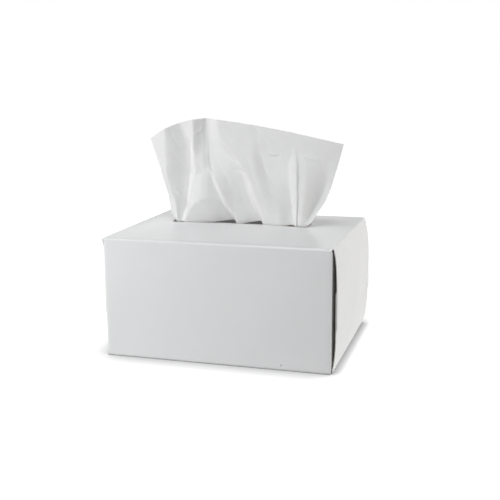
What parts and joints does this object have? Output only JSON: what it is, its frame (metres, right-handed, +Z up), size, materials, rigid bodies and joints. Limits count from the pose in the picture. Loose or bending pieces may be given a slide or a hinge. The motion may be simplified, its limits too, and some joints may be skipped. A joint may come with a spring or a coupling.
{
  "type": "box of lens cleaning tissues",
  "caption": "White folded carton with glued, slightly bowed ends and a straight slot in its raised top panel, with a pleated tissue standing up out of the slot from the stack inside.",
  "frame": {"origin": "centre of the carton's base, on the surface it rests on", "axes": "+X along the long front panel towards the right end, +Y from the front panel to the back panel, +Z up"},
  "size_m": [0.1371, 0.1042, 0.134],
  "materials": {
    "coated_board": "smooth white coated board with a soft sheen",
    "stacked_tissue": "soft white tissue edges",
    "tissue": "soft matt white tissue"
  },
  "bodies": {
    "root": {"carton": "coated_board", "tissue_stack": "stacked_tissue", "pop_up_tissue": "tissue"}
  },
  "joints": []
}
